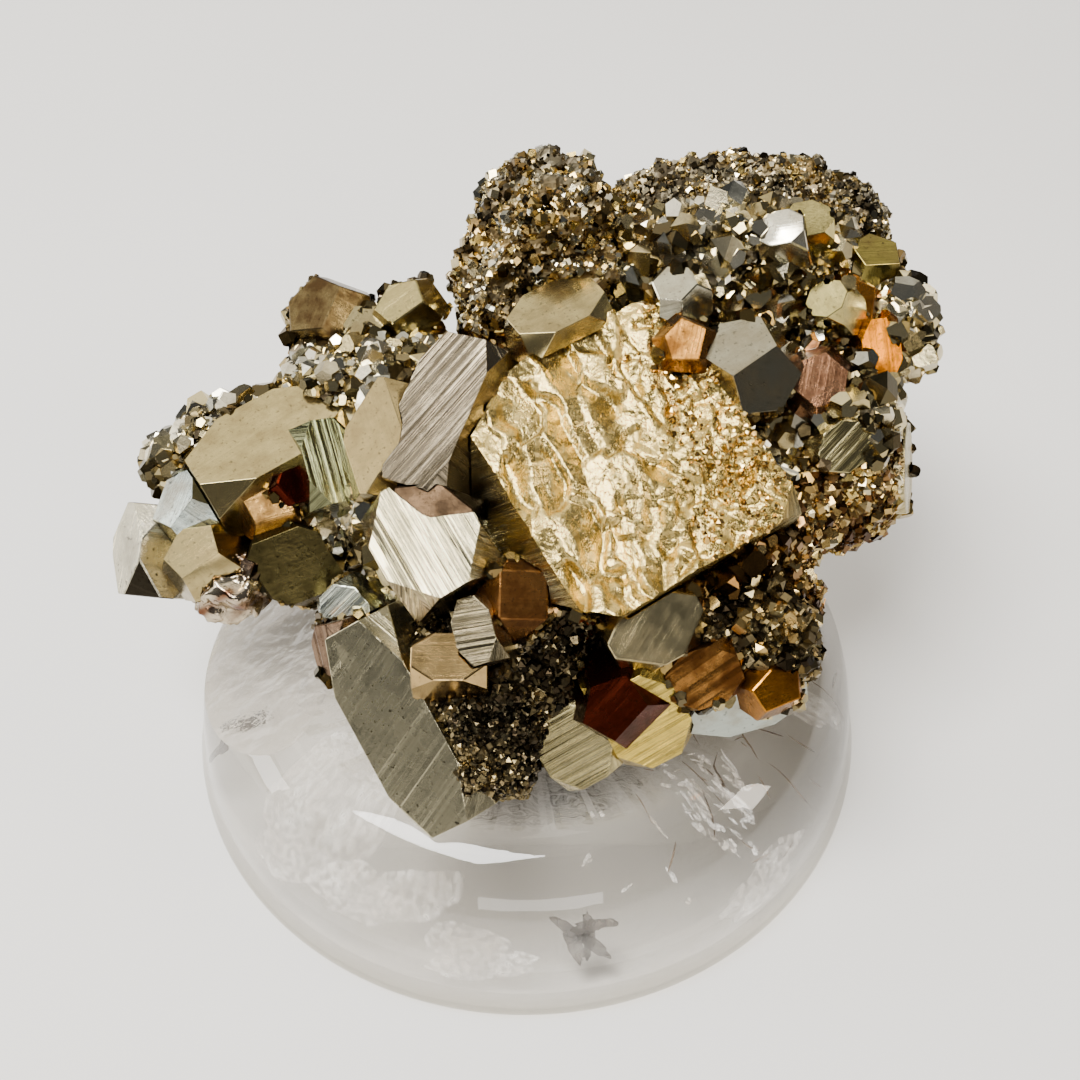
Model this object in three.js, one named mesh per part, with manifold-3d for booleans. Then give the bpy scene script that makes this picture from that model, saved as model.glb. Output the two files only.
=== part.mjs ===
// A pyrite specimen: intergrown cubic crystals on a lump of massive pyrite, lying on a polished quartz dome.
// Millimetres, +Z up, the origin on the table under the middle of the dome; +Y is the specimen's back.
import * as THREE from 'three';
import { ConvexGeometry } from 'three/addons/geometries/ConvexGeometry.js';
import { mergeVertices } from 'three/addons/utils/BufferGeometryUtils.js';
import Module from 'manifold-3d';

const wasm = await Module();
wasm.setup();

// Driving dimensions.
const DOME_FOOT = [[48.3, 0], [49.1, 0.3], [49.6, 1.3], [49.3, 3]]; // radius and height up the rounded foot
const DOME_RADIUS = 48.4; // where the dome's side springs from the foot
const DOME_SPRING = 5.5;
const DOME_HEIGHT = 25;
const DOME_TOP_RADIUS = 36;
const DOME_SIDES = 56;
const DOME_STEPS = 8;
const DOME_CHIP = { normal: [-5, 2, 10], through: [-30, -7, 22] }; // a broken flat on the dome's left
const GAP = 0.3; // left between neighbouring solids, which touch in the real specimen
const BUMP = 0.06; // share of a lobe's radius by which its surface rises and falls

const { sin, cos, PI } = Math;

// Colour, roughness and metalness of the specimen's surfaces.
const SURFACES = {
  bright: { color: 0xa89c7c, roughness: 0.22, metalness: 1 },
  brown: { color: 0x8a6134, roughness: 0.25, metalness: 1 },
  dark: { color: 0x4a4438, roughness: 0.4, metalness: 1 },
  massive: { color: 0x6b6248, roughness: 0.45, metalness: 1 },
  quartz: { color: 0xe8e2d8, roughness: 0.05, metalness: 0 },
};

// ---- Solids ------------------------------------------------------------------------------------------------

function solidOf(geometry) {
  const bare = geometry.clone();
  for (const name of ['normal', 'uv']) bare.deleteAttribute(name);
  const merged = mergeVertices(bare, 1e-4);
  return new wasm.Manifold(
    new wasm.Mesh({
      numProp: 3,
      vertProperties: new Float32Array(merged.attributes.position.array),
      triVerts: new Uint32Array(merged.index.array),
    }),
  );
}

function geometryOf(solid) {
  const mesh = solid.getMesh();
  const geometry = new THREE.BufferGeometry();
  geometry.setAttribute('position', new THREE.BufferAttribute(mesh.vertProperties, 3));
  geometry.setIndex(new THREE.BufferAttribute(mesh.triVerts, 1));
  return geometry;
}

// A cut can leave slivers beside the body; only the body is kept.
function largestBody(solid) {
  return solid.decompose().sort((a, b) => b.volume() - a.volume())[0];
}

// The axes of a face: its normal is the third, and the edge direction laid into the face is the first.
function basis(normal, edge) {
  const z = new THREE.Vector3(...normal).normalize();
  const x = new THREE.Vector3(...edge);
  x.addScaledVector(z, -x.dot(z)).normalize();
  const y = new THREE.Vector3().crossVectors(z, x);
  return new THREE.Matrix4().makeBasis(x, y, z);
}

// The half space beyond a plane, as a box big enough to cut any piece here.
function beyond({ normal, through }) {
  const box = new THREE.BoxGeometry(200, 200, 200).translate(0, 0, 100);
  box.applyMatrix4(basis(normal, [normal[1], normal[2], normal[0]]));
  return solidOf(box.translate(...through));
}

// ---- Crystal forms -----------------------------------------------------------------------------------------
// Pyrite grows as cubes, octahedra and pyritohedra, and as cubes whose corners and edges the other two cut off.
// The forms below are one unit wide. `corner` is how far the octahedron cuts in and `bevel` how far the
// pyritohedron does: 0 leaves the cube whole, and 0.5 leaves no more of a cube face than a line.

function octahedron(corner) {
  return new THREE.OctahedronGeometry(1.5 - corner);
}

function pyritohedron(bevel) {
  const reach = (1.5 - bevel) / 3;
  const points = [];
  for (const a of [-1, 1]) {
    for (const b of [-1, 1]) {
      for (const c of [-1, 1]) points.push([a, b, c]);
      points.push([0.75 * a, 0, 1.5 * b], [0, 1.5 * a, 0.75 * b], [1.5 * a, 0.75 * b, 0]);
    }
  }
  return new ConvexGeometry(points.map((p) => new THREE.Vector3(...p).multiplyScalar(reach)));
}

// The face of each habit that a crystal's row places, and an edge direction in that face.
const HABITS = {
  cube: { normal: [0, 0, 1], edge: [1, 0, 0] },
  pyritohedron: { normal: [0, 1, 2], edge: [1, 0, 0] },
  octahedron: { normal: [1, 1, 1], edge: [1, -1, 0] },
};

function farthestAlong(geometry, normal) {
  const points = geometry.attributes.position;
  const point = new THREE.Vector3();
  let distance = 0;
  for (let i = 0; i < points.count; i += 1) {
    distance = Math.max(distance, point.fromBufferAttribute(points, i).dot(normal));
  }
  return distance;
}

// A crystal's solid, with every face moved outwards by about `grow`.
function crystalSolid({ habit, at, face, along, size, corner, bevel, cuts }, grow) {
  let unit = solidOf(new THREE.BoxGeometry(1, 1, 1));
  if (corner > 0) unit = unit.intersect(solidOf(octahedron(corner)));
  if (bevel > 0) unit = unit.intersect(solidOf(pyritohedron(bevel)));
  const form = HABITS[habit];
  const turn = basis(face, along).multiply(basis(form.normal, form.edge).transpose());
  const geometry = geometryOf(unit).scale(...size).applyMatrix4(turn);
  const normal = new THREE.Vector3(...face).normalize();
  const middle = new THREE.Vector3(...at).addScaledVector(normal, -farthestAlong(geometry, normal));
  const swell = 1 + (2 * grow) / Math.min(...size);
  geometry.scale(swell, swell, swell).translate(middle.x, middle.y, middle.z);
  return cuts.reduce((solid, plane) => solid.subtract(beyond(plane)), solidOf(geometry));
}

// ---- The crystals ------------------------------------------------------------------------------------------
// Each row gives the crystal's surface, the middle of the face that shows, that face's outward normal, the
// direction of its long edge, and the size along that edge, across it and into the rock.
// Where two crystals meet, the one that comes first is whole and the later one has grown round it.

const crystal = (habit, corner, bevel) => (name, surface, at, face, along, size, options = {}) => (
  { name: `${name}_crystal`, surface, habit, at, face, along, size, corner, bevel, cuts: [], ...options });
const cube = crystal('cube', 0.3, 0);
const pyrito = crystal('pyritohedron', 0.2, 0.5);
const octa = crystal('octahedron', 0.75, 0);

// The broken cube's striated side is a pyritohedral face, and its lowest corner is broken off.
const SIDE_FACE = { normal: [-7, -6, 2.5], through: [-8, 0, 66] };
const BROKEN_CORNER = { normal: [-2, -7, -6], through: [8, -23, 53] };

const CENTRE = [
  cube('brown_lens', 'brown', [-11, -10, 58.5], [-1, -3, 5], [9, -2, -2], [10, 4, 7], { corner: 0.45 }),
  cube('half_disc', 'bright', [-19, 0, 60], [-3, -3, 6], [0, -5, -5], [15, 8, 10], { corner: 0.45 }),
  cube('violet_striated', 'bright', [-11, 0.5, 64], [-4, -3, 8], [1.5, 4, 4], [20, 10, 12], { corner: 0.2 }),
  cube('amber_triangle', 'brown', [0, -19.5, 52], [1, -3, 4], [4, -3, -3], [8, 8, 9], { corner: 0.5 }),
  cube('fine_striated', 'bright', [-6, -23, 49.5], [-2, -3, 4], [2, -4, -4], [8, 5, 9]),
  cube('broken_cube', 'bright', [10, -6, 60.5], [0.2, -2, 4.3], [5, -7, -4.5], [34, 37, 28],
    { corner: 0.1, cuts: [SIDE_FACE, BROKEN_CORNER] }),
  cube('silver_striated', 'bright', [-12, -14, 56.5], [-1, -3, 5], [6, -7.4, -6.7], [15, 13, 15], { corner: 0.35 }),
  cube('top_tan', 'bright', [4, 13, 70], [-1, 0, 5], [8, 4, 0], [12, 9, 12]),
];

const FRONT = [
  pyrito('black_rough', 'dark', [-3.5, -31, 37], [1, -4, 3], [1, -5, -6], [19, 16, 15]),
  cube('flake', 'brown', [-25, -19, 40], [-3, -3, 2], [1, -3, -3], [7, 5, 6]),
  cube('blade', 'bright', [-16, -28, 36], [-2, -4, 3], [5, -6.5, -6], [28, 11, 13], { corner: 0.25 }),
  cube('tan_strip', 'bright', [-9, -25, 47], [0, -1, 4], [8, 0, 0], [9, 6, 8]),
  cube('small_silver', 'bright', [-23, -14, 42], [-1, -3, 3], [4, -3, -3], [7, 6, 8]),
];

const LEFT = [
  octa('left_red', 'brown', [-29, 0.5, 51.5], [2, -3, 4], [4, -3, -3], [9, 9, 9]),
  pyrito('left_amber', 'brown', [-33, -2, 50], [1, -4, 5], [5, 1, 1], [10, 9, 10]),
  cube('left_green', 'bright', [-25, 2, 53.5], [2, -2, 4], [-1, 4, 4], [11, 7, 10]),
  cube('left_tan', 'bright', [-34, 6, 54.5], [-1, -1, 8], [8, 5, 0], [21, 12, 11]),
  pyrito('left_blue', 'bright', [-46, 0, 48.5], [-3, -1, 4], [0, -4, -4], [12, 11, 12]),
  cube('left_end', 'bright', [-53, -3, 42], [-4, -2, 3], [0, -5, -5], [12, 8, 9], { corner: 0.4 }),
  pyrito('left_low_tan', 'bright', [-43, -7, 46], [-1, -2, 4], [4, 2, 2], [11, 10, 11]),
  pyrito('left_crumpled', 'bright', [-39, -9, 43.5], [0, -3, 4], [5, 0, 0], [12, 11, 12]),
  cube('left_olive', 'dark', [-30, -7, 43], [1, -4, 3], [4, -1, -1], [12, 10, 12], { corner: 0.4 }),
];

const UPPER_LEFT = [
  pyrito('upper_brown', 'brown', [-29, 25, 60.5], [-1, -1, 3], [1, 3, 2], [13, 12, 13]),
  pyrito('upper_tan', 'bright', [-17, 24, 62], [-1, -2, 4], [3, 2, 0], [10, 9, 10]),
  octa('upper_small', 'bright', [-22, 23, 59], [0, -1, 3], [1, 0, 0], [8, 8, 8]),
];

const RIGHT = [
  pyrito('right_amber', 'brown', [20, 7, 69.5], [0, -2, 3], [1, 3, 3], [8, 8, 9]),
  pyrito('right_large', 'bright', [27, 7, 68.5], [-1, -1, 4], [5, 3, 1], [13, 13, 13]),
  pyrito('right_ellipse', 'brown', [44, 20, 65], [1, -3, 4], [1, 4, 4], [9, 8, 9]),
  cube('right_orange', 'brown', [47, 15, 61], [2, -3, 3], [1, -4, -4], [8, 6, 9]),
  octa('right_pink', 'brown', [38, 8, 62], [0, -3, 4], [4, 1, 1], [10, 10, 10]),
  pyrito('right_olive', 'bright', [47, 27, 68], [1, -1, 4], [4, 1, 0], [10, 9, 10]),
  cube('right_white', 'bright', [33, 24, 74], [-1, -1, 3], [4, 0, 0], [6, 5, 8]),
  octa('right_flat', 'bright', [19, 15, 72], [-1, -1, 4], [4, -1, 0], [8, 8, 8]),
  cube('right_glint', 'bright', [39, 17, 68], [-2, -1, 3], [1, 4, 4], [5, 5, 7]),
  cube('right_top', 'bright', [37, 26, 74], [0, -1, 3], [4, 1, 0], [6, 5, 8]),
  cube('right_striated', 'bright', [41, 1, 57], [1, -4, 3], [4, 2, 2], [7, 6, 8]),
];

const LOWER_RIGHT = [
  cube('lower_grey', 'bright', [16, -22, 49], [0, -3, 4], [5, 2, 2], [12, 9, 10], { corner: 0.4 }),
  pyrito('lower_red', 'brown', [11, -29, 42], [-1, -4, 3], [3, 2, 3], [12, 11, 12]),
  pyrito('lower_amber', 'brown', [31, -27, 43], [1, -4, 3], [4, 1, 1], [9, 8, 9]),
  cube('lower_yellow', 'bright', [15, -29, 39], [1, -5, 2], [3, -3, -5], [13, 10, 11]),
  cube('lower_brown', 'brown', [22, -26, 44], [0, -4, 3], [4, 1, 1], [9, 7, 9]),
  cube('lower_blue', 'bright', [28, -26, 38], [1, -5, 1], [6, 1, 1], [15, 8, 10]),
  cube('lower_step', 'bright', [6, -29, 34], [-1, -4, 3], [3, -2, -4], [11, 9, 10]),
  pyrito('lower_end', 'dark', [33, -22, 47], [2, -3, 4], [2, -3, -3], [12, 11, 12]),
];

const BACK = [
  pyrito('back_left', 'bright', [-24, 28, 50], [-1, 3, 2], [3, 1, 0], [13, 12, 13]),
  cube('back_middle', 'bright', [8, 48, 56], [0, 4, 1], [4, 0, 1], [14, 12, 14]),
  pyrito('back_right', 'bright', [38, 46, 56], [2, 4, 1], [2, -1, 1], [13, 12, 12]),
  cube('right_side', 'bright', [52, 8, 46], [4, -1, 1], [0, 3, 3], [12, 10, 12]),
  cube('under_left', 'dark', [-32, 4, 33], [-1, -1, -4], [3, 1, 0], [12, 11, 9]),
  octa('back_low', 'dark', [20, 41, 42], [0, 3, -1], [3, 0, 1], [13, 13, 13]),
];

const CRYSTALS = [...CENTRE, ...FRONT, ...LEFT, ...UPPER_LEFT, ...RIGHT, ...LOWER_RIGHT, ...BACK];

// ---- The matrix: lobes of massive pyrite grown into one lump -----------------------------------------------

const LOBES = [
  { at: [8, 4, 43], radii: [33, 24, 19.5], detail: 3 }, // the body, broken flat where it lies on the dome
  { at: [3, 30, 62], radii: [13, 12, 16], detail: 3 },
  { at: [29, 34, 59], radii: [22, 13, 18], detail: 3 },
  { at: [41, 12, 47], radii: [11, 16, 14], detail: 3 },
  { at: [-36, -1, 41], radii: [15, 8, 6], detail: 3 },
  { at: [-34, 10, 47], radii: [17, 9, 7], detail: 3 },
  { at: [-20, 17, 49], radii: [14, 11, 11], detail: 3 },
  { at: [-2, -17, 37], radii: [15, 11, 11], detail: 2 },
  { at: [22, -13, 38], radii: [17, 13, 11], detail: 3 },
  { at: [49, 23, 57], radii: [8, 7, 7], detail: 2 },
];

function lobe({ at, radii, detail }, index) {
  const geometry = new THREE.IcosahedronGeometry(1, detail);
  const points = geometry.attributes.position;
  const point = new THREE.Vector3();
  for (let i = 0; i < points.count; i += 1) {
    point.fromBufferAttribute(points, i);
    const folds = sin(4.1 * point.x + index) * sin(3.7 * point.y + 2 * index);
    point.multiplyScalar(1 + BUMP * (folds + sin(4.6 * point.z + 3 * index)));
    points.setXYZ(i, at[0] + radii[0] * point.x, at[1] + radii[1] * point.y, at[2] + radii[2] * point.z);
  }
  return solidOf(geometry);
}

// ---- The dome ----------------------------------------------------------------------------------------------

function dome() {
  const profile = [[0, 0], ...DOME_FOOT];
  for (let i = 0; i <= DOME_STEPS; i += 1) {
    const angle = (i / DOME_STEPS) * (PI / 2);
    const radius = DOME_TOP_RADIUS + (DOME_RADIUS - DOME_TOP_RADIUS) * cos(angle);
    profile.push([radius, DOME_SPRING + (DOME_HEIGHT - DOME_SPRING) * sin(angle)]);
  }
  profile.push([0, DOME_HEIGHT]);
  const points = profile.map(([radius, height]) => new THREE.Vector2(radius, height));
  const whole = solidOf(new THREE.LatheGeometry(points, DOME_SIDES).rotateX(PI / 2));
  return whole.subtract(beyond(DOME_CHIP));
}

// ---- Build -------------------------------------------------------------------------------------------------

const specimen = new THREE.Group();

// The mesh's own origin is the middle of its box.
function add(name, solid, surface) {
  const geometry = geometryOf(solid);
  geometry.computeBoundingBox();
  const middle = geometry.boundingBox.getCenter(new THREE.Vector3());
  geometry.translate(-middle.x, -middle.y, -middle.z);
  const mesh = new THREE.Mesh(geometry, new THREE.MeshStandardMaterial(SURFACES[surface]));
  mesh.name = name;
  mesh.position.copy(middle);
  specimen.add(mesh);
}

const base = dome();
add('quartz_base', base, 'quartz');

// `taken` is all the space up to GAP round what has been built so far.
const sideways = 1 + GAP / DOME_TOP_RADIUS;
let taken = base.scale([sideways, sideways, 1 + GAP / DOME_HEIGHT]);
for (const row of CRYSTALS) {
  add(row.name, largestBody(crystalSolid(row, 0).subtract(taken)), row.surface);
  taken = taken.add(crystalSolid(row, GAP));
}

const lump = LOBES.map(lobe).reduce((whole, next) => whole.add(next));
add('pyrite_matrix', largestBody(lump.subtract(taken)), 'massive');

export default specimen;
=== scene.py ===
"""Looks of a pyrite specimen: a cluster of metallic crystals lying on a polished dome of clear quartz."""

import itertools
import math

import bmesh
import bpy
import numpy as np
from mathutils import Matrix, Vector


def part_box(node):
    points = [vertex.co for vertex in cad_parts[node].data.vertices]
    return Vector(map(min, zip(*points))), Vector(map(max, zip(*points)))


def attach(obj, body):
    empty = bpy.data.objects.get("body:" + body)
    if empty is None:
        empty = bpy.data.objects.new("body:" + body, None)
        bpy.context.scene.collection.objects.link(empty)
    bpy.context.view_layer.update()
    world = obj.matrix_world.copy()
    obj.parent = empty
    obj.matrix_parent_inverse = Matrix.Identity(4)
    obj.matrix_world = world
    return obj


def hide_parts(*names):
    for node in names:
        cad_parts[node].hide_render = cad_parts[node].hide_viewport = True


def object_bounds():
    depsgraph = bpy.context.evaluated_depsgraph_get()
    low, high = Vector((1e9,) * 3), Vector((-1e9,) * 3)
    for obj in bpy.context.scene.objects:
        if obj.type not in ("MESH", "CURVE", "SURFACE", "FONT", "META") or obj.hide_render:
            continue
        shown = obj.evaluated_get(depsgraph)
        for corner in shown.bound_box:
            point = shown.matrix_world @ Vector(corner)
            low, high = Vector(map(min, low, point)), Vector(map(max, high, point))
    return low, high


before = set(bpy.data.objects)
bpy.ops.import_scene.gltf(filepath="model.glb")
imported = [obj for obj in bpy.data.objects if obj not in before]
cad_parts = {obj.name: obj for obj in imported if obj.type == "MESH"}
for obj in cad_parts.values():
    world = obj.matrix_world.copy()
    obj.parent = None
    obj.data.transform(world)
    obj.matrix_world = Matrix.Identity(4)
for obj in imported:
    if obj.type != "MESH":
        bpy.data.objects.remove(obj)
cad_box = [list(corner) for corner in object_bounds()]
low, high = np.array(cad_box[0]), np.array(cad_box[1])

# ---- Camera ------------------------------------------------------------------------------------------------
# It looks down on the specimen's front at 48 degrees from 0.23 m away, as a hand-held camera would. Its lens
# takes in the whole cluster and the dome below it, with a little floor on each side.

camera = bpy.data.objects.new("camera", bpy.data.cameras.new("camera"))
bpy.context.collection.objects.link(camera)
camera.data.lens = 50.0
camera.data.sensor_width = 36.0
camera.data.clip_start = 0.01
camera.location = (0.002, -0.1358, 0.1911)
camera.rotation_euler = (math.radians(42.0), 0.0, 0.0)
bpy.context.scene.camera = camera

# ---- Quartz dome -------------------------------------------------------------------------------------------
# One piece of clear rock crystal, ground and polished into a low dome with a rounded foot. A flat has broken
# off its left side. Inside are veils of healed cracks and a few needles.

MM = 0.001
QUARTZ_IOR = 1.54
DOME_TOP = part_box("quartz_base")[1].z

# The profile, as radius and height in millimetres: the rounded foot, the point where the dome starts to
# curve in, and the radius at which it would be level.
DOME_FOOT = [(0.0, 0.0), (47.6, 0.0), (48.6, 0.12), (49.2, 0.5), (49.6, 1.3), (49.55, 2.2), (49.25, 3.2),
             (48.8, 4.3)]
DOME_SIDE = (48.4, 5.5)
DOME_TOP_RADIUS = 36.0

# The flat that broke off: its plane, and the width of the crushed edge round it.
CHIP_NORMAL = (-5.0, 2.0, 10.0)
CHIP_POINT = (-30.0, -7.0, 22.0)
CHIP_EDGE = 0.5

# Two faces lie in one plane when the cosine between their normals is more than this.
ONE_PLANE = 0.9999

# Light that comes through: two tones of the clear stone, its ground foot with a painted shade where it meets
# the floor, its broken face, and its shadow.
CLEAR_TONES = (0.95, 0.925, 0.89), (0.98, 0.975, 0.965)
FOOT_TONE_AND_SHADE = (0.48, 0.46, 0.38)
BREAK_TONE = (0.84, 0.78, 0.70)
SHADOW_TONE = (0.86, 0.845, 0.82, 1.0)


def linear(code):
    """A web colour code as linear light: each channel over 255, to the power 2.2."""
    return tuple((int(code[i:i + 2], 16) / 255.0) ** 2.2 for i in (0, 2, 4))


class Wire:
    """An output socket. Python's arithmetic on it adds one Math node to its material."""

    def __init__(self, finish, socket):
        self.finish = finish
        self.socket = socket

    def math(self, operation, *values):
        return self.finish.node("ShaderNodeMath", {"operation": operation}, dict(enumerate(values)))

    def __add__(self, other):
        return self.math("ADD", self, other)

    def __mul__(self, other):
        return self.math("MULTIPLY", self, other)

    __radd__ = __add__
    __rmul__ = __mul__


class Finish:
    """A material being wired. node() adds any node and gives back one of its outputs as a Wire."""

    def __init__(self, name):
        self.material = bpy.data.materials.new(name)
        self.material.use_nodes = True
        self.tree = self.material.node_tree
        self.tree.nodes.clear()

    def node(self, kind, settings=None, inputs=None, output=0):
        made = self.tree.nodes.new(kind)
        for key, value in (settings or {}).items():
            if key == "stops":
                ramp = made.color_ramp
                while len(ramp.elements) < len(value):
                    ramp.elements.new(0.5)
                for element, (place, colour) in zip(ramp.elements, value):
                    element.position = place
                    element.color = (*colour, 1.0) if len(colour) == 3 else colour
            else:
                setattr(made, key, value)
        for key, value in (inputs or {}).items():
            if isinstance(value, Wire):
                self.tree.links.new(value.socket, made.inputs[key])
            else:
                made.inputs[key].default_value = value
        return Wire(self, made.outputs[output]) if made.outputs else None

    def place(self, scale=(1000.0, 1000.0, 1000.0)):
        """The place on the object, stretched by scale: as given, in millimetres."""
        coordinates = self.node("ShaderNodeTexCoord", output="Object")
        return self.node("ShaderNodeMapping", inputs={"Vector": coordinates, "Scale": scale})

    def noise(self, vector, scale, detail=3.0, roughness=0.5):
        """Soft clouds from 0 to 1, scale of them in each unit of vector."""
        return self.node("ShaderNodeTexNoise", inputs={
            "Vector": vector, "Scale": scale, "Detail": detail, "Roughness": roughness})

    def ramp(self, factor, *stops):
        """Black to white, or through the stops' colours, as factor passes their places."""
        stops = [(place, (tone,) * 3 if isinstance(tone, float) else tone) for place, tone in stops]
        return self.node("ShaderNodeValToRGB", {"stops": stops}, {"Fac": factor})

    def mix(self, factor, first, second, blend="MIX"):
        """First where factor is 0 and second where it is 1, or first blended with second by that much."""
        if isinstance(first, tuple):
            first = (*first, 1.0)
        if isinstance(second, tuple):
            second = (*second, 1.0)
        return self.node("ShaderNodeMix", {"data_type": "RGBA", "blend_type": blend},
                         {0: factor, 6: first, 7: second}, output=2)

    def bump(self, height, distance, strength=1.0):
        return self.node("ShaderNodeBump", inputs={
            "Height": height, "Distance": distance, "Strength": strength})

    def surface(self, **sockets):
        """Ends the material in a Principled shader with these sockets set or linked."""
        inputs = {name.replace("_", " "): value for name, value in sockets.items()}
        return self.finish(self.node("ShaderNodeBsdfPrincipled", inputs=inputs))

    def finish(self, shader):
        """Ends the material in any shader."""
        self.node("ShaderNodeOutputMaterial", inputs={"Surface": shader})
        return self.material


def add_piece(name, mesh, material, slot, *replaced):
    """Puts a finished mesh into the scene as a piece of the object."""
    piece = bpy.data.objects.new(name, mesh)
    bpy.context.collection.objects.link(piece)
    mesh.materials.clear()
    mesh.materials.append(material)
    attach(piece, "root")
    if replaced:
        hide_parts(*replaced)
    return piece


def mesh_from_arrays(name, points, faces):
    """A mesh whose faces all have three or all have four corners: points is n by 3, faces m by 3 or 4."""
    mesh = bpy.data.meshes.new(name)
    points, faces = np.asarray(points, np.float32), np.asarray(faces, np.int32)
    mesh.vertices.add(len(points))
    mesh.vertices.foreach_set("co", points.ravel())
    mesh.loops.add(faces.size)
    mesh.loops.foreach_set("vertex_index", faces.ravel())
    mesh.polygons.add(len(faces))
    mesh.polygons.foreach_set("loop_start", np.arange(0, faces.size, faces.shape[1], dtype=np.int32))
    mesh.update(calc_edges=True)
    mesh.shade_flat()
    return mesh


def closed_rings(grid, first, last):
    """Points and triangles of a closed skin: grid (i, j) is point j of side i, side i is joined to side i +
    1 and the last side to the first, and the ends of all sides meet in the points first and last."""
    sides, rings = grid.shape[:2]
    points = np.concatenate([grid.reshape(-1, 3), [first, last]])
    i, j = np.meshgrid(np.arange(sides), np.arange(rings - 1), indexing="ij")
    here, after = i * rings + j, (i + 1) % sides * rings + j
    side = np.arange(sides) * rings
    turned = np.roll(side, -1)
    corners = [(here, after, after + 1), (here, after + 1, here + 1),
               (np.full(sides, sides * rings), turned, side),
               (side + rings - 1, turned + rings - 1, np.full(sides, sides * rings + 1))]
    return points, np.concatenate([np.stack(corner, -1).reshape(-1, 3) for corner in corners])


# The skin: an elliptic arc from the side to the top goes on from the foot's profile, which turns round z.
# The chip's plane then cuts it, and the new edge is blunted.
arc = np.linspace(0.0, math.pi / 2.0, 25)[1:]
side_arc = np.stack([DOME_TOP_RADIUS + (DOME_SIDE[0] - DOME_TOP_RADIUS) * np.cos(arc),
                     DOME_SIDE[1] + (DOME_TOP / MM - DOME_SIDE[1]) * np.sin(arc)], axis=-1)
profile = np.concatenate([DOME_FOOT, [DOME_SIDE], side_arc]) * MM
turn = np.linspace(0.0, 2.0 * math.pi, 160, endpoint=False)[:, None]
wall = np.stack([profile[:, 0] * np.cos(turn), profile[:, 0] * np.sin(turn), profile[:, 1] + 0.0 * turn],
                axis=-1)

dome = bmesh.new()
dome.from_mesh(mesh_from_arrays("dome_skin", *closed_rings(wall, (0, 0, 0), (0, 0, DOME_TOP))))
cut = bmesh.ops.bisect_plane(dome, geom=dome.verts[:] + dome.edges[:] + dome.faces[:],
                             plane_co=Vector(CHIP_POINT) * MM, plane_no=Vector(CHIP_NORMAL), clear_outer=True)
rim = [edge for edge in cut["geom_cut"] if isinstance(edge, bmesh.types.BMEdge)]
bmesh.ops.contextual_create(dome, geom=rim)
chipped = bmesh.ops.bevel(dome, geom=rim, offset=CHIP_EDGE * MM, segments=2, profile=0.5, affect="EDGES",
                          clamp_overlap=True)["faces"]
bmesh.ops.recalc_face_normals(dome, faces=dome.faces[:])
chip = Vector(CHIP_NORMAL).normalized()
for face in dome.faces:
    face.smooth = face.normal.dot(chip) < ONE_PLANE
    face.material_index = 0 if face.smooth else 1
for face in chipped:
    face.material_index = 2
dome_materials = [face.material_index for face in dome.faces]
dome_mesh = bpy.data.meshes.new("quartz_dome")
dome.to_mesh(dome_mesh)
dome.free()


def quartz_finish(name, dull, ripple_scale, ripple_depth):
    """Clear polished quartz, a little tanned, and ground and scuffed low on its side. There its colour is
    also darkened, a painted shade of its contact with the floor. A broken face is dull all over and rippled,
    to ripple_depth in millimetres. Lamps shine through, so that what is under it is lit."""
    quartz = Finish(name)
    place = quartz.place()
    ripple = quartz.noise(place, ripple_scale, detail=4.0)
    scuff = quartz.ramp(quartz.noise(place, 0.35, detail=6.0, roughness=0.65), (0.6, 0.0), (0.75, 1.0))
    height = quartz.node("ShaderNodeSeparateXYZ", inputs={"Vector": place}, output="Z")
    # Low on the side: a rougher ground foot, and a painted shade that darkens its colour where it meets the
    # floor.
    ground_foot_and_shade = quartz.ramp(0.1 * height + 0.1 * scuff, (0.20, 1.0), (0.50, 0.0))
    tone = quartz.ramp(quartz.noise(place, 0.04), (0.40, CLEAR_TONES[0]), (0.60, CLEAR_TONES[1]))
    tone = quartz.mix(ground_foot_and_shade, tone, FOOT_TONE_AND_SHADE)
    tone = quartz.mix(4.0 * dull, tone, BREAK_TONE)
    glass = quartz.node("ShaderNodeBsdfPrincipled", inputs={
        "Base Color": tone, "Roughness": 0.012 + dull + 0.05 * scuff + 0.10 * ground_foot_and_shade, "IOR": QUARTZ_IOR,
        "Transmission Weight": 1.0, "Normal": quartz.bump(ripple, ripple_depth * MM, 0.5)})
    open_way = quartz.node("ShaderNodeBsdfTransparent", inputs={"Color": SHADOW_TONE})
    lamp = quartz.node("ShaderNodeLightPath", output="Is Shadow Ray")
    return quartz.finish(quartz.node("ShaderNodeMixShader", inputs={0: lamp, 1: glass, 2: open_way}))


add_piece("quartz_dome", dome_mesh, quartz_finish("clear_quartz", 0.0, 0.05, 0.3), "clear_quartz",
          "quartz_base")
dome_mesh.materials.append(quartz_finish("broken_quartz", 0.16, 0.25, 2.5))
dome_mesh.materials.append(quartz_finish("chipped_edge", 0.45, 0.9, 1.5))
dome_mesh.polygons.foreach_set("material_index", dome_materials)


def cell_numbers(cells, seed):
    """Three numbers from 0 to 1 for each whole-numbered cell: what follows the decimal point in sines of its
    place, taken many thousand times."""
    key = cells @ np.array([127.1, 311.7, 74.7]) + seed * 17.3
    return np.stack([np.abs(np.sin(key + shift) * 43758.5453) % 1.0 for shift in (0.0, 1.3, 2.6)], -1)


def waves(points, size, seed):
    """Soft unevenness, nearly always from -1 to 1: 1.6 times the mean of five sines that run in seeded
    directions, each about size long."""
    way = np.random.default_rng(seed).normal(size=(5, 3))
    way *= (2.0 * math.pi / size * np.linspace(0.7, 1.5, 5) / np.linalg.norm(way, axis=1))[:, None]
    return np.sin(points @ way.T + np.arange(5.0) * 1.7).mean(axis=-1) * 1.6


HALF_THICKNESS = 0.12


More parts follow.
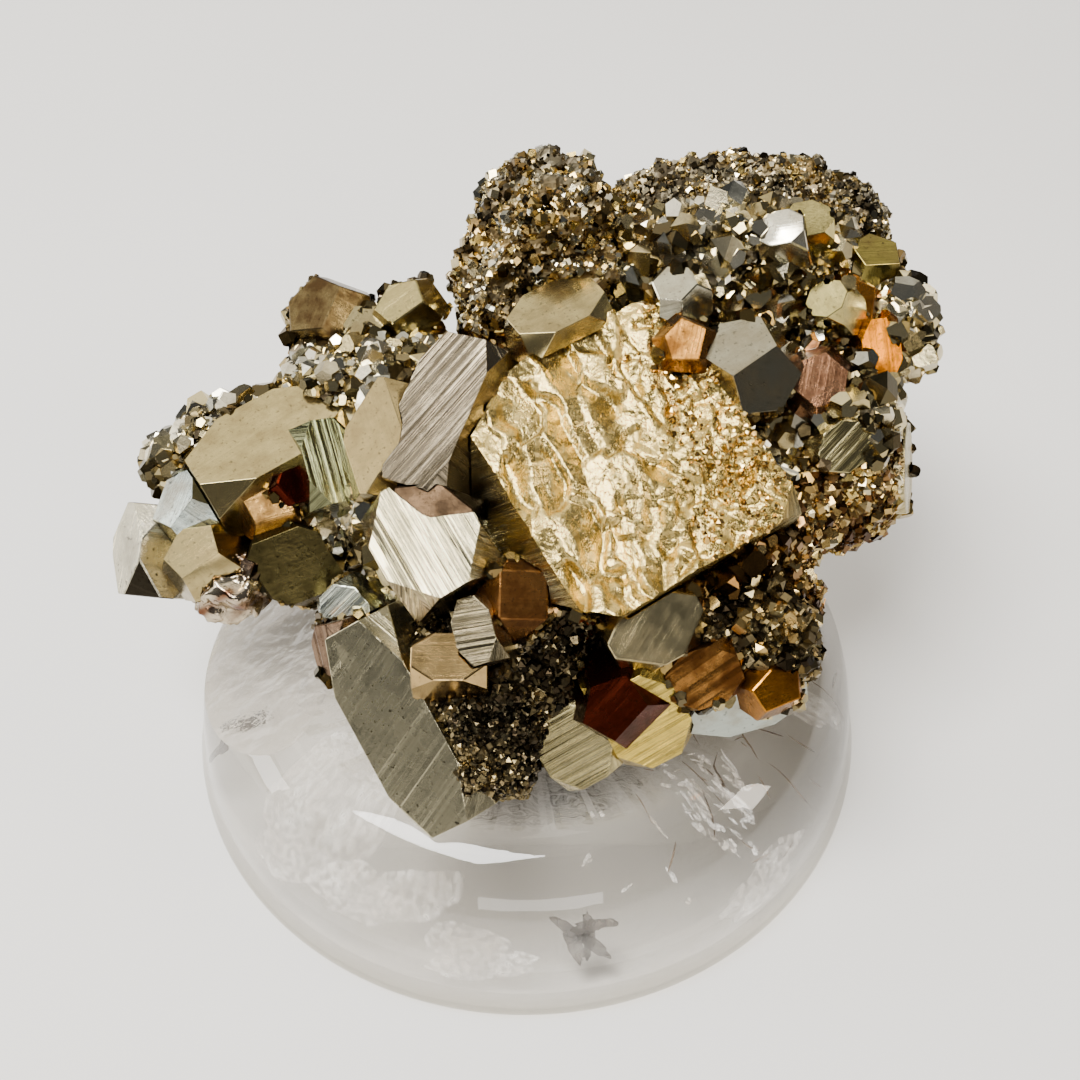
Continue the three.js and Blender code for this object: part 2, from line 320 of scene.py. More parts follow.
def crack(centre, normal, along, size, seed):
    """A healed crack: a thin lens, its centre and size in millimetres. Its rim is an ellipse times 1 plus
    four waves of the angle. At radius r its two skins lie off its plane by half its thickness times 1 - r
    squared, with slow waves added to both."""
    rng = np.random.default_rng(seed)
    turn = np.linspace(0.0, 2.0 * math.pi, 48, endpoint=False)[:, None]
    ring = np.array([0.15, 0.4, 0.65, 0.85, 0.96, 1.0, 0.96, 0.85, 0.65, 0.4, 0.15])[None, :]
    side = np.sign(np.arange(11) - 5)[None, :]
    phase = rng.uniform(0.0, 6.28, 4)
    rim = 1.0 + sum(0.5 / k * np.sin(k * turn + phase[n]) for n, k in enumerate((2, 3, 7, 13)))
    flat = np.stack([ring * rim * np.cos(turn) * size[0], ring * rim * np.sin(turn) * size[1]], -1)
    bend = 0.7 * waves(np.concatenate([flat, 0.0 * flat[..., :1]], -1), 9.0, seed)
    off = side * HALF_THICKNESS * (1.0 - ring ** 2) + bend
    normal, along = Vector(normal).normalized(), Vector(along)
    along = (along - normal * along.dot(normal)).normalized()
    basis = np.array([along, normal.cross(along), normal])
    grid = np.concatenate([flat, off[..., None]], -1) @ basis + centre
    tip = np.array(centre) + basis[2] * HALF_THICKNESS
    return closed_rings(grid, 2 * np.array(centre) - tip, tip)


def needle(start, end, thickness, seed):
    """A hair-fine crystal: its middle line bends by waves, and its radius is the thickness times the root
    of a half sine of the way along it."""
    start, end = np.array(start, float), np.array(end, float)
    turn = np.linspace(0.0, 2.0 * math.pi, 6, endpoint=False)[:, None]
    step = np.linspace(0.06, 0.94, 14)[None, :]
    way = Vector(end - start).normalized()
    side = way.orthogonal().normalized()
    radius = thickness * np.sin(step * math.pi) ** 0.5
    line = start + step[..., None] * (end - start)
    line = line + np.array(side) * (waves(line, 7.0, seed) * 0.35)[..., None]
    round_it = ((radius * np.cos(turn))[..., None] * np.array(side)
                + (radius * np.sin(turn))[..., None] * np.array(way.cross(side)))
    return closed_rings(line + round_it, start, end)


def joined(parts):
    """Several lots of points and triangles as one."""
    shift = np.cumsum([0] + [len(points) for points, _ in parts[:-1]])
    return (np.concatenate([points for points, _ in parts]),
            np.concatenate([faces + more for (_, faces), more in zip(parts, shift)]))


def flaws_finish(name, pale, deep, least, most, fineness=0.5):
    """Air and dust in a healed crack: pale to deep, and between them least and most covered, in patches
    that are smaller the greater the fineness."""
    flaw = Finish(name)
    place = flaw.place()
    cloud = flaw.noise(place, fineness, detail=7.0, roughness=0.7)
    shade = flaw.ramp(flaw.noise(place, 0.22, detail=4.0), (0.35, 0.0), (0.65, 1.0))
    return flaw.surface(
        Base_Color=flaw.mix(shade, linear(pale), linear(deep)), Roughness=0.35 + 0.3 * cloud,
        Alpha=least + (most - least) * flaw.ramp(cloud, (0.42, 0.0), (0.62, 1.0)),
        Normal=flaw.bump(cloud, 0.0004, 0.6))


# Each crack's centre, normal, way along, and size along and across. Four of the grey ones cross each other
# at the front, as a splintered star.
GREY_CRACKS = [
    ((7, -37, 6), (0.2, -0.8, 0.7), (1, 1, 1), (0.9, 3.4)),
    ((8, -36, 7), (0.6, -0.5, 0.7), (0, 1, 1), (0.7, 3.0)),
    ((6, -38, 5.5), (-0.3, -0.8, 0.5), (1, 0, 1), (0.8, 2.4)),
    ((7.5, -36.5, 6), (0.1, -0.8, 0.6), (2, -1, 1), (0.7, 2.6)),
    ((-38, -12, 9), (-0.6, -0.3, 0.8), (0, 1, 0), (0.8, 4.0))]
# Pale veils of healed cracks. Their white also paints the soft glow of light gathered in the dome, most of
# all low at the front and left.
PALE_CRACKS_AND_GLOW = [
    ((20, -15, 13), (0.4, -0.6, 0.8), (1, 1, 0), (1.0, 4.0)),
    ((-26, -24, 9), (0.2, -0.4, 0.9), (1, 0.3, 0), (11.0, 6.0)),
    ((-18, -32, 7), (0.1, -0.7, 0.8), (1, 0, 0), (8.0, 3.5)),
    ((34, -8, 11), (0.5, 0.2, 0.8), (0, 1, 0), (3.0, 6.0)),
    ((-10, 22, 11), (0.2, 0.5, 0.8), (1, 0, 0), (9.0, 5.0)),
    ((20, 28, 10), (0.3, 0.6, 0.7), (1, 0.4, 0), (8.0, 4.0)),
    ((-34, 12, 8), (-0.7, 0.3, 0.6), (0, 1, 0), (4.0, 7.0)),
    ((-6, -40, 6), (0.0, -0.8, 0.6), (1, 0, 0), (8.0, 3.0)),
    ((30, -30, 6), (0.5, -0.6, 0.6), (1, 1, 0), (8.0, 3.0))]


def scattered(count, low_corner, high_corner, lengths, seed):
    """Seeded places in a block, where it lies inside the dome, and ways of these lengths that mostly run
    towards the back. Inside means nearer to the axis than 43 less 0.4 of the height, in millimetres."""
    rng = np.random.default_rng(seed)
    spots = rng.uniform(low_corner, high_corner, (count, 3))
    spots = spots[np.hypot(spots[:, 0], spots[:, 1]) < 43.0 - spots[:, 2] * 0.4]
    ways = rng.normal((-0.3, 0.7, 0.0), (0.7, 0.7, 0.4), (len(spots), 3))
    return spots, ways * (rng.uniform(*lengths, len(spots)) / np.linalg.norm(ways, axis=1))[:, None]


def add_flaws(name, parts, material):
    """Puts several cracks or needles, in millimetres, into the dome as one piece."""
    points, faces = joined(parts)
    mesh = mesh_from_arrays(name, points * MM, faces)
    mesh.shade_smooth()
    add_piece(name, mesh, material, "clear_quartz")


add_flaws("grey_cracks", [crack(*row, seed=n) for n, row in enumerate(GREY_CRACKS)],
          flaws_finish("grey_crack", "6A645C", "2C2824", 0.45, 1.0))
# The pale veils: real cracks, with a painted glow in their white.
add_flaws("pale_cracks", [crack(*row, seed=20 + n) for n, row in enumerate(PALE_CRACKS_AND_GLOW)],
          flaws_finish("pale_crack", "FFFDF8", "CFC6BC", 0.01, 0.28, fineness=1.2))

# Needles on the right, which run from side to side of their seeded spots.
spots, ways = scattered(110, (14, -34, 5), (43, 8, 16), (0.6, 2.6), 41)
needles = [needle(spot - way, spot + way, 0.10, n) for n, (spot, way) in enumerate(zip(spots, ways))]
add_flaws("quartz_needles", needles, flaws_finish("brown_needle", "8C7A68", "5A4A3E", 0.6, 0.95))

# Flakes of air: a cluster near the front of the right side, and a few more round it. Their white is a painted
# glint of the light that catches them.
spots, ways = scattered(60, (19, -27, 8), (28, -19, 13), (0.3, 0.9), 43)
more_spots, more_ways = scattered(22, (4, -40, 6), (34, -8, 17), (0.3, 0.8), 44)
spots, ways = np.concatenate([spots, more_spots]), np.concatenate([ways, more_ways])
flakes = [crack(spot, way[::-1], way, (1.3 * np.linalg.norm(way), 0.25 + 0.3 * abs(way[0])), 60 + n)
          for n, (spot, way) in enumerate(zip(spots, ways))]
# Painted glint: the flakes' white.
add_flaws("flakes_painted_glint", flakes, flaws_finish("flake_glint_paint", "FFFFFF", "D8CCBC", 0.0, 0.6, fineness=1.6))

# ---- Pyrite matrix -----------------------------------------------------------------------------------------
# The mass of small intergrown grains of pyrite that holds the cluster together and rests on the dome. It is
# rough all over, a little warm in patches, and breaks into ledges along the ridge at the back.

# In millimetres: the side of the even squares in its skin, and the height below which its underside rests on
# the dome.
MATRIX_SQUARE = 0.59
RESTING_HEIGHT = 25.6


def cad_copy(node):
    """A CAD node's own triangles, welded at their corners and joined where they lie in one plane."""
    welded = bmesh.new()
    welded.from_mesh(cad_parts[node].data)
    bmesh.ops.remove_doubles(welded, verts=welded.verts, dist=2e-6)
    bmesh.ops.dissolve_limit(welded, angle_limit=math.radians(1.5), verts=welded.verts, edges=welded.edges)
    return welded


def read(mesh, what, width, items="vertices", kind=np.float64):
    """One property of all a mesh's vertices, faces or corners as an array."""
    found = np.empty(len(getattr(mesh, items)) * width, kind)
    getattr(mesh, items).foreach_get(what, found)
    return found.reshape(-1, width) if width > 1 else found


def nearest_grains(points, size, seed):
    """For each point, the ways from its two nearest grains, their seeded numbers and how far they are.
    Space is cut into cubes of the given size, with one grain somewhere in each."""
    steps = np.array(list(itertools.product((-1, 0, 1), repeat=3)))
    cells = np.floor(points / size)[None] + steps[:, None]
    way = points[None] - (cells + 0.15 + 0.7 * cell_numbers(cells, seed)) * size
    far = np.linalg.norm(way, axis=-1)
    order = np.argsort(far, axis=0)[:2]
    number = cell_numbers(cells, seed + 5)
    return (np.take_along_axis(way, order[..., None], axis=0),
            np.take_along_axis(number, order[..., None], axis=0),
            np.take_along_axis(far, order, axis=0))


def grainy(points, size, seed, tilt=0.5, step=0.3):
    """Broken or grown facets, each about size across: the height, from about -1 to 1, of the nearest
    grain's own tilted plane, which changes to the next grain's over a step of that part of the size."""
    way, number, far = nearest_grains(points, size, seed)
    height = (way * (number - 0.5)).sum(-1) * tilt * 2.0 / size + (number[..., 0] - 0.5) * 0.9
    blend = np.clip(0.5 - (far[1] - far[0]) / (step * size), 0.0, 0.5)
    return height[0] * (1.0 - blend) + height[1] * blend


def voxelled(name, shape, voxel):
    """The shape's skin as one mesh of even squares of the voxel's size."""
    rough = bpy.data.meshes.new(name)
    shape.to_mesh(rough)
    shape.free()
    holder = bpy.data.objects.new(name, rough)
    bpy.context.collection.objects.link(holder)
    remesh = holder.modifiers.new("skin", "REMESH")
    remesh.mode = "VOXEL"
    remesh.voxel_size = voxel
    done = bpy.data.meshes.new_from_object(holder.evaluated_get(bpy.context.evaluated_depsgraph_get()))
    bpy.data.objects.remove(holder)
    return done


def paint(mesh, colours, domain="POINT"):
    """Gives each point of the mesh, or each corner of its faces, its own tint."""
    tint = mesh.color_attributes.new("tint", "FLOAT_COLOR", domain)
    colours = np.concatenate([colours, np.ones((len(colours), 1))], -1)
    tint.data.foreach_set("color", colours.astype(np.float32).ravel())


# What clean pyrite gives back of red, green and blue, which takes down every tint, and what is left of that
# in a growth line's painted shade. Then the colour of a pit, a painted shade.
BRASS = (0.90, 0.83, 0.66)
GROWTH_SHADE = (0.16, 0.15, 0.14)
PIT_SHADE = "1C1812"


def pyrite_finish(name, stain, stained, smooth, rough, lines=0.0, grain=0.3, pits=0.3, line_scale=1.3):
    """Metallic pyrite in its piece's own tint, stained in patches, between smooth and rough in others, with
    grain and pits, whose dark colour is a painted shade. Growth lines, where it has them, are noise along v
    of the map "growth", which fades in and out slowly along u: they raise and roughen the face, and darken it
    with a painted shade."""
    metal = Finish(name)
    place = metal.place()
    tint = metal.node("ShaderNodeAttribute", {"attribute_name": "tint"})
    tint = metal.mix(1.0, tint, BRASS, "MULTIPLY")
    patch = metal.noise(place, 0.22, detail=6.0, roughness=0.62)
    speck = metal.noise(place, 1.7, detail=4.0, roughness=0.6)
    # Pits: dark specks, a painted shade, which also roughen the face a little.
    pit = metal.ramp(speck, (0.60, 0.0), (0.70, 1.0)) * pits
    colour = metal.mix(stained * metal.ramp(patch, (0.42, 0.0), (0.62, 1.0)), tint, linear(stain))
    height = speck * grain
    gloss = smooth + (rough - smooth) * metal.ramp(patch, (0.3, 0.0), (0.7, 1.0)) + 0.08 * pit
    if lines:
        growth = metal.node("ShaderNodeUVMap", {"uv_map": "growth"})
        reach = metal.node("ShaderNodeMapping", inputs={"Vector": growth, "Scale": (0.07, 0.5, 1.0)})
        ends = metal.ramp(metal.noise(reach, 1.0, detail=3.0), (0.36, 0.25), (0.6, 1.0))
        across = metal.node("ShaderNodeSeparateXYZ", inputs={"Vector": growth}, output="Y")
        fine = metal.node("ShaderNodeTexNoise", {"noise_dimensions": "1D"}, {
            "W": across, "Scale": line_scale, "Detail": 5.0, "Roughness": 0.8})
        line = metal.ramp(fine, (0.40, 1.0), (0.60, 0.0)) * ends
        # Painted shade in the growth lines.
        shaded = metal.mix(1.0, colour, GROWTH_SHADE, "MULTIPLY")
        colour = metal.mix(lines * 0.75 * line, colour, shaded)
        height = height + lines * 2.2 * fine * ends
        gloss = gloss + lines * 0.10 * line
    colour = metal.mix(pit, colour, linear(PIT_SHADE))
    return metal.surface(Base_Color=colour, Metallic=1.0, Roughness=gloss, Normal=metal.bump(height, 0.00006))


def move(mesh, points):
    """Puts a mesh's points, in millimetres, where these say, but not past the CAD box."""
    points = np.clip(points, low / MM, high / MM)
    mesh.vertices.foreach_set("co", (points * MM).astype(np.float32).ravel())
    mesh.update()
    return points


# Grains of two sizes raise the skin along its normals, except where it rests on the dome. The ridge is high
# and at the back, from 12 to 20 mm behind the middle and 52 to 58 mm up, and has long ledges with finer
# ones on them.
matrix = voxelled("matrix_body", cad_copy("pyrite_matrix"), MATRIX_SQUARE * MM)
ground = read(matrix, "co", 3) / MM
outward = read(matrix, "normal", 3)
lift = 1.1 * grainy(ground, 4.2, 3) + 0.55 * grainy(ground, 1.9, 4) - 0.25
ridge = np.clip((ground[:, 1] - 12.0) / 8.0, 0.0, 1.0) * np.clip((ground[:, 2] - 52.0) / 6.0, 0.0, 1.0)
lift += ridge * (2.2 * grainy(ground * (0.6, 1.0, 1.3), 6.5, 5, tilt=1.2) - 0.5)
lift += ridge * (0.5 * grainy(ground * (0.5, 1.0, 1.0), 1.5, 6, tilt=1.6))
lift[(ground[:, 2] < RESTING_HEIGHT) & (outward[:, 2] < -0.5)] = 0.0
ground = move(matrix, ground + outward * lift[:, None])
shade = (0.6 + 0.4 * waves(ground, 14.0, 8) + 0.5 * ridge)[:, None]
warm = np.clip(waves(ground, 22.0, 9) * 0.7 + 0.3, 0.0, 1.0)[:, None]
paint(matrix, shade * (warm * np.array(linear("A08A5E")) + (1.0 - warm) * np.array(linear("6E6A60"))))
add_piece("pyrite_matrix_grains", matrix,
          pyrite_finish("massive_pyrite", "2A2018", 0.7, 0.28, 0.55, grain=1.0, pits=0.8),
          "massive_pyrite", "pyrite_matrix")

# ---- Grown crystals ----------------------------------------------------------------------------------------
# Cubes and twelve-sided pyritohedra of pyrite, blunted at their corners and grown into each other. Their
# faces are mirror bright under a thin tarnish and carry fine growth steps, which turn from face to face.

FINISHES = {name: pyrite_finish(name, *row) for name, row in {
    # Stain, how much of it, smoothest and roughest, growth lines, grain, pits, and how close the lines are.
    "bright_pyrite": ("6E5B3C", 0.45, 0.10, 0.26, 0.14, 0.14, 0.6),
    "lined_pyrite": ("5A5245", 0.3, 0.10, 0.24, 1.0, 0.15, 0.3),
    "banded_pyrite": ("8C8464", 0.5, 0.08, 0.20, 1.3, 0.1, 0.2, 1.0),
    "cube_side": ("4A4434", 0.3, 0.10, 0.22, 1.3, 0.1, 0.2, 2.0),
    "scratched_pyrite": ("3C382E", 0.4, 0.16, 0.34, 0.45, 0.3, 0.9),
    "brown_pyrite": ("2C1208", 0.75, 0.16, 0.38, 0.3, 0.5, 0.7),
    "dark_pyrite": ("0E0C0A", 0.6, 0.16, 0.40, 0.2, 0.5, 0.9),
    "crumpled_pyrite": ("4A2C1C", 0.5, 0.10, 0.30, 0.0, 0.8, 0.3),
    "gritty_pyrite": ("0A0908", 0.7, 0.22, 0.5, 0.0, 1.6, 0.9),
}.items()}

# In millimetres: the width of a blunted edge, how far a face grows into its neighbours, and the side of the
# squares that make up a rough crystal's skin.
EDGE_BLUNTING = 0.14
CONTACT = 0.17
ROUGH_SQUARE = 0.34

# An edge is blunted where its faces turn by more than this, in radians. In metres: how near a point lies to
# a face that it belongs to, and points that a cut takes as one.
SHARP = 0.2
ON_FACE = 2e-5
WELD = 1e-7

walls = []
big_crystals = []


def growth_map(mesh, axes):
    """The UV map "growth", in millimetres: u runs along a face's growth lines and v across them. The lines
    on a face follow the axis after the one that it faces most."""
    total = read(mesh, "loop_total", 1, "polygons", np.int32)
    normal = read(mesh, "normal", 3, "polygons")
    owner = np.repeat(np.arange(len(total)), total)
    corner = read(mesh, "co", 3)[read(mesh, "vertex_index", 1, "loops", np.int32)] / MM
    line = axes[(np.abs(normal @ axes.T).argmax(axis=1) + 1) % 3]
    line = line - normal * (line * normal).sum(-1, keepdims=True)
    line /= np.linalg.norm(line, axis=-1, keepdims=True)
    across = np.cross(normal, line)
    flat = np.stack([(corner * line[owner]).sum(-1), (corner * across[owner]).sum(-1)], -1)
    mesh.uv_layers.new(name="growth").data.foreach_set("uv", flat.astype(np.float32).ravel())


def face_toward(shape, way):
    """The large face that looks most along way: the greatest area times the cosine between them cubed."""
    return max(shape.faces, key=lambda one: one.calc_area() * max(one.normal.dot(way), 0.01) ** 3)


def keep_walls(shape):
    """Notes the planes of a crystal's faces, which say later where it is solid."""
    walls.append((np.array([one.normal for one in shape.faces]),
                  np.array([one.normal.dot(one.verts[0].co) for one in shape.faces])))


def cut_across(shape, way, places, facing=None):
    """Cuts the shape by planes square to way at these places along it: all its faces, or only those that lie
    square to facing."""
    for place in places:
        parts = shape.verts[:] + shape.edges[:] + shape.faces[:]
        if facing is not None:
            faces = [one for one in shape.faces if one.normal.dot(facing) > ONE_PLANE]
            parts = list(dict.fromkeys(part for one in faces for part in (one, *one.edges, *one.verts)))
        bmesh.ops.bisect_plane(shape, geom=parts, plane_co=way * float(place), plane_no=way, dist=WELD)


def swell(shape):
    """Moves each face of a shape out by the contact depth, so that neighbours grow into each other. Each
    corner goes along its normal by that depth times its own shell factor, but not past the CAD box."""
    shape.normal_update()
    moved = [one.co + one.normal * CONTACT * MM * min(one.calc_shell_factor(), 2.0) for one in shape.verts]
    for one, place in zip(shape.verts, np.clip(np.array(moved), low, high)):
        one.co = place


def crystal(name, tint, slot="bright_pyrite", finish=None, face=(0, -2, 3), lines=None, relief=0.0,
            spacing=0.5, sides=()):
    """A crystal from its CAD solid, with blunted edges. Its growth lines run along lines on the face that
    looks towards face. There, with a relief in millimetres, they are real steps: the crystal is cut at places
    seeded by its name, and each cut sinks by its own depth, a shallow one after each deep one. sides are
    directions and tints for single faces: painted light and shade, which make a face lighter, darker or
    warmer by the way it turns."""
    node = f"{name}_crystal"
    shape = cad_copy(node)
    best = face_toward(shape, Vector(face).normalized())
    normal = best.normal.copy()
    edge = max(best.edges, key=lambda one: one.calc_length())
    along = Vector(lines) if lines else edge.verts[1].co - edge.verts[0].co
    along = (along - normal * along.dot(normal)).normalized()
    across = normal.cross(along)
    level = normal.dot(best.verts[0].co) + CONTACT * MM
    keep_walls(shape)
    swell(shape)
    sharp = [one for one in shape.edges if len(one.link_faces) == 2 and one.calc_face_angle() > SHARP]
    bmesh.ops.bevel(shape, geom=sharp, offset=EDGE_BLUNTING * MM, segments=1, profile=0.6, affect="EDGES",
                    clamp_overlap=True)
    rng = np.random.default_rng(sum(ord(letter) * (n + 1) for n, letter in enumerate(name)))
    if relief:
        reach = [one.co.dot(across) for one in shape.verts]
        widths = rng.uniform(0.35, 1.7, int((max(reach) - min(reach)) / MM / spacing) + 4) * spacing * MM
        places = min(reach) + np.cumsum(widths)
        places = places[places < max(reach)]
        cut_across(shape, across, places)
    mesh = bpy.data.meshes.new(node)
    shape.to_mesh(mesh)
    shape.free()
    if relief:
        points = read(mesh, "co", 3)
        depths = rng.uniform(0.0, 1.0, len(places)) ** 0.7 * np.where(np.arange(len(places)) % 2, 1.0, 0.25)
        on_face = np.abs(points @ np.array(normal) - level) < ON_FACE
        sink = np.interp(points @ np.array(across), places, depths) * relief * MM
        points = points - np.array(normal) * (sink * on_face)[:, None]
        mesh.vertices.foreach_set("co", points.astype(np.float32).ravel())
        mesh.update()
    growth_map(mesh, np.array([normal, along, across]))
    owner = np.repeat(np.arange(len(mesh.polygons)), read(mesh, "loop_total", 1, "polygons", np.int32))
    facing = read(mesh, "normal", 3, "polygons")
    colours = np.tile(linear(tint), (len(facing), 1))
    # Painted light and shade: a face that turns along one of the sides' directions gets that side's tint.
    for way, other in sides:
        colours[facing @ np.array(Vector(way).normalized()) > 0.93] = linear(other)
    paint(mesh, colours[owner], "CORNER")
    big_crystals.append(add_piece(name, mesh, FINISHES[finish or slot], slot, node))


def rough_crystal(name, tints, slot, finish, folds, seed, smooth=False):
    """A crystal whose faces are rough all over: its solid's skin in small even squares, moved in and out by
    broken facets. folds are pairs of facet size and height, in millimetres. Its tint changes from patch to
    patch between the two given."""
    node = f"{name}_crystal"
    mesh = voxelled(name, cad_copy(node), ROUGH_SQUARE * MM)
    points, normal = read(mesh, "co", 3) / MM, read(mesh, "normal", 3)
    lift = sum(height * grainy(points, size, seed + n, tilt=1.4, step=0.15)
               for n, (size, height) in enumerate(folds))
    points = move(mesh, points + normal * lift[:, None])
    if smooth:
        mesh.shade_smooth()
    else:
        mesh.shade_flat()
    blend = np.clip(0.5 + 0.9 * waves(points, 4.0, seed), 0.0, 1.0)[:, None]
    paint(mesh, blend * linear(tints[0]) + (1.0 - blend) * np.array(linear(tints[1])))
    return add_piece(name, mesh, FINISHES[finish], slot, node)


# The middle: a broken cube among large lined crystals.

crystal("half_disc", "C4B48A", face=(-3, -3, 6))
crystal("violet_striated", "8E877C", finish="lined_pyrite", face=(-4, -3, 8), lines=(2.7, 2.1, 2.1),
        relief=0.13, spacing=0.42)
# Its front face is tinted a darker tan, a painted shade.
crystal("silver_striated", "B4B09C", finish="banded_pyrite", face=(-1, -3, 5), lines=(2.0, -3.1, -1.5),
        relief=0.28, spacing=0.60, sides=[((-1, -6, 1), "A99C86")])
crystal("brown_lens", "3C322A", "brown_pyrite", "dark_pyrite", face=(-1, -3, 5))
crystal("amber_triangle", "A07448", "brown_pyrite", face=(1, -3, 4))
crystal("fine_striated", "A39C88", finish="lined_pyrite", face=(-2, -3, 4), lines=(3.7, -0.4, 1.5),
        relief=0.07, spacing=0.35)
crystal("top_tan", "C2B890", face=(-1, 0, 5))

# The front: a long blade, a rough black crystal and small ones on their shoulders. The black crystal's near
# black tint is partly a painted reflection of the dark room in front.

# Painted reflection, in part: its near black tints.
black = rough_crystal("black_rough", ("5C584C", "1C1A18"), "dark_pyrite", "gritty_pyrite",
                      [(3.2, 0.7), (1.1, 0.45)], 61)
crystal("flake", "7A685E", "brown_pyrite", face=(-3, -3, 2), relief=0.06)
crystal("blade", "C8C6B4", finish="scratched_pyrite", face=(-2, -4, 3), lines=(2.1, 1.3, 3.1), relief=0.06)
crystal("tan_strip", "BCA47A", face=(0, -1, 4))
crystal("small_silver", "DCEAF0", finish="lined_pyrite", face=(-1, -3, 3), lines=(2.8, 1.5, 2.4), relief=0.08,
        spacing=0.4)

# The left lobe: a broad tan crystal with amber, red and blue-grey ones below it.

crystal("left_red", "421A12", "brown_pyrite", face=(2, -3, 4))
crystal("left_amber", "B4905C", "brown_pyrite", face=(-1, -4, 5))
crystal("left_green", "858C70", finish="lined_pyrite", face=(2, -2, 4), lines=(1.1, -3.2, -2.2), relief=0.10)
crystal("left_tan", "C6BA90", face=(-1, -1, 8), lines=(3.2, 2.4, 0.7))
crystal("left_blue", "9CAAB4", face=(-3, -1, 4))
# Its front face is tinted near black, a painted reflection of the dark room in front of it.
crystal("left_end", "D0D0CA", finish="scratched_pyrite", face=(-4, -2, 3), lines=(1.0, 2.5, 3.0), relief=0.07,
        spacing=0.45, sides=[((1, -8, 1), "2E2A26")])
crystal("left_low_tan", "ADA27E", face=(-1, -2, 4))
rough_crystal("left_crumpled", ("DCD6CC", "6A4A3A"), "bright_pyrite", "crumpled_pyrite",
              [(3.0, 0.8), (1.2, 0.2)], 71, smooth=True)
# Its dark tint is a painted shade: it lies in the shadow under the left lobe.
crystal("left_olive", "5C563C", "dark_pyrite", face=(1, -4, 3))

# Behind the left lobe.

crystal("upper_brown", "7A6E52", "brown_pyrite", face=(-1, -1, 3))
crystal("upper_tan", "A49C74", face=(-1, -2, 4))
crystal("upper_small", "B0A888", face=(0, -1, 3))

# The right: larger crystals that stand out of a crust of small ones.

crystal("right_amber", "946C3A", "brown_pyrite")
# Its top is tinted a lighter tan and its right face amber: painted light and shade.
crystal("right_large", "A6A69C", face=(-1, -1, 4), sides=[((0, 1, 4), "C8B88C"), ((3, -2, 2), "C08A3C")])
crystal("right_ellipse", "A8763A", "brown_pyrite", face=(1, -3, 4))
crystal("right_orange", "A86A0C", "brown_pyrite", face=(2, -3, 3))
crystal("right_pink", "94705C", "brown_pyrite", face=(0, -3, 4))
crystal("right_olive", "8C8450", face=(1, -1, 4))
crystal("right_white", "ECEEEC")
crystal("right_flat", "C8CAC2")
crystal("right_glint", "D0C890")
crystal("right_top", "D0C890")
crystal("right_striated", "B0AA86", finish="lined_pyrite", face=(1, -4, 3), lines=(2.7, 2.2, 2.0),
        relief=0.09, spacing=0.45)

# Low on the right: a deep red crystal beside a yellow lined one.

crystal("lower_grey", "B4AC90", face=(0, -3, 4), lines=(2.1, 2.7, 2.1))
crystal("lower_red", "50241A", "brown_pyrite", face=(-1, -4, 3))
crystal("lower_amber", "A87430", "brown_pyrite", face=(1, -4, 3))
crystal("lower_yellow", "D2BC62", finish="lined_pyrite", face=(1, -5, 2), lines=(3.4, 1.3, 1.6), relief=0.09,
        spacing=0.45)
crystal("lower_brown", "765632", "brown_pyrite", face=(0, -4, 3), lines=(3.3, 1.4, 1.9), relief=0.08)
crystal("lower_blue", "A0ACB4", face=(1, -5, 1))
crystal("lower_step", "BCB48E", finish="lined_pyrite", face=(-1, -4, 3), lines=(3.3, 0.8, 2.1), relief=0.08,
        spacing=0.45)
hollow = rough_crystal("lower_end", ("8C8468", "2A241C"), "dark_pyrite", "gritty_pyrite",
                       [(3.6, 1.0), (1.2, 0.5)], 81)

# The back, the right side and the underside.

crystal("back_left", "BDB28E", face=(-1, 3, 2))
crystal("back_middle", "C4BA98", finish="lined_pyrite", face=(0, 4, 1), relief=0.09)
crystal("back_right", "B0A884", face=(2, 4, 1))
crystal("right_side", "C4BC9A", finish="lined_pyrite", face=(4, -1, 1), relief=0.08)
crystal("under_left", "5C5442", "dark_pyrite", face=(-1, -1, -4))
crystal("back_low", "56503E", "dark_pyrite", face=(0, 3, -1))

# ---- Broken cube -------------------------------------------------------------------------------------------
# The largest pyrite crystal. Its top broke away and left a bright golden fracture, with shell-like folds on
# the left, and smaller ones, grit and fine crystals on the right. The side that stayed whole is lined.

CUBE_TOP = Vector((0.2, -2.0, 4.3)).normalized()
CUBE_SIDE = Vector((-7.0, -6.0, 2.5)).normalized()
SIDE_LINES = (2.3, -1.4, 3.0)
SIDE_RELIEF = 0.16
FRACTURE_SQUARE = 0.36
LEFT_GOLD = "D2B872"
RIGHT_GOLD = "C8AE68"
SIDE_TINT = "C8C4A6"


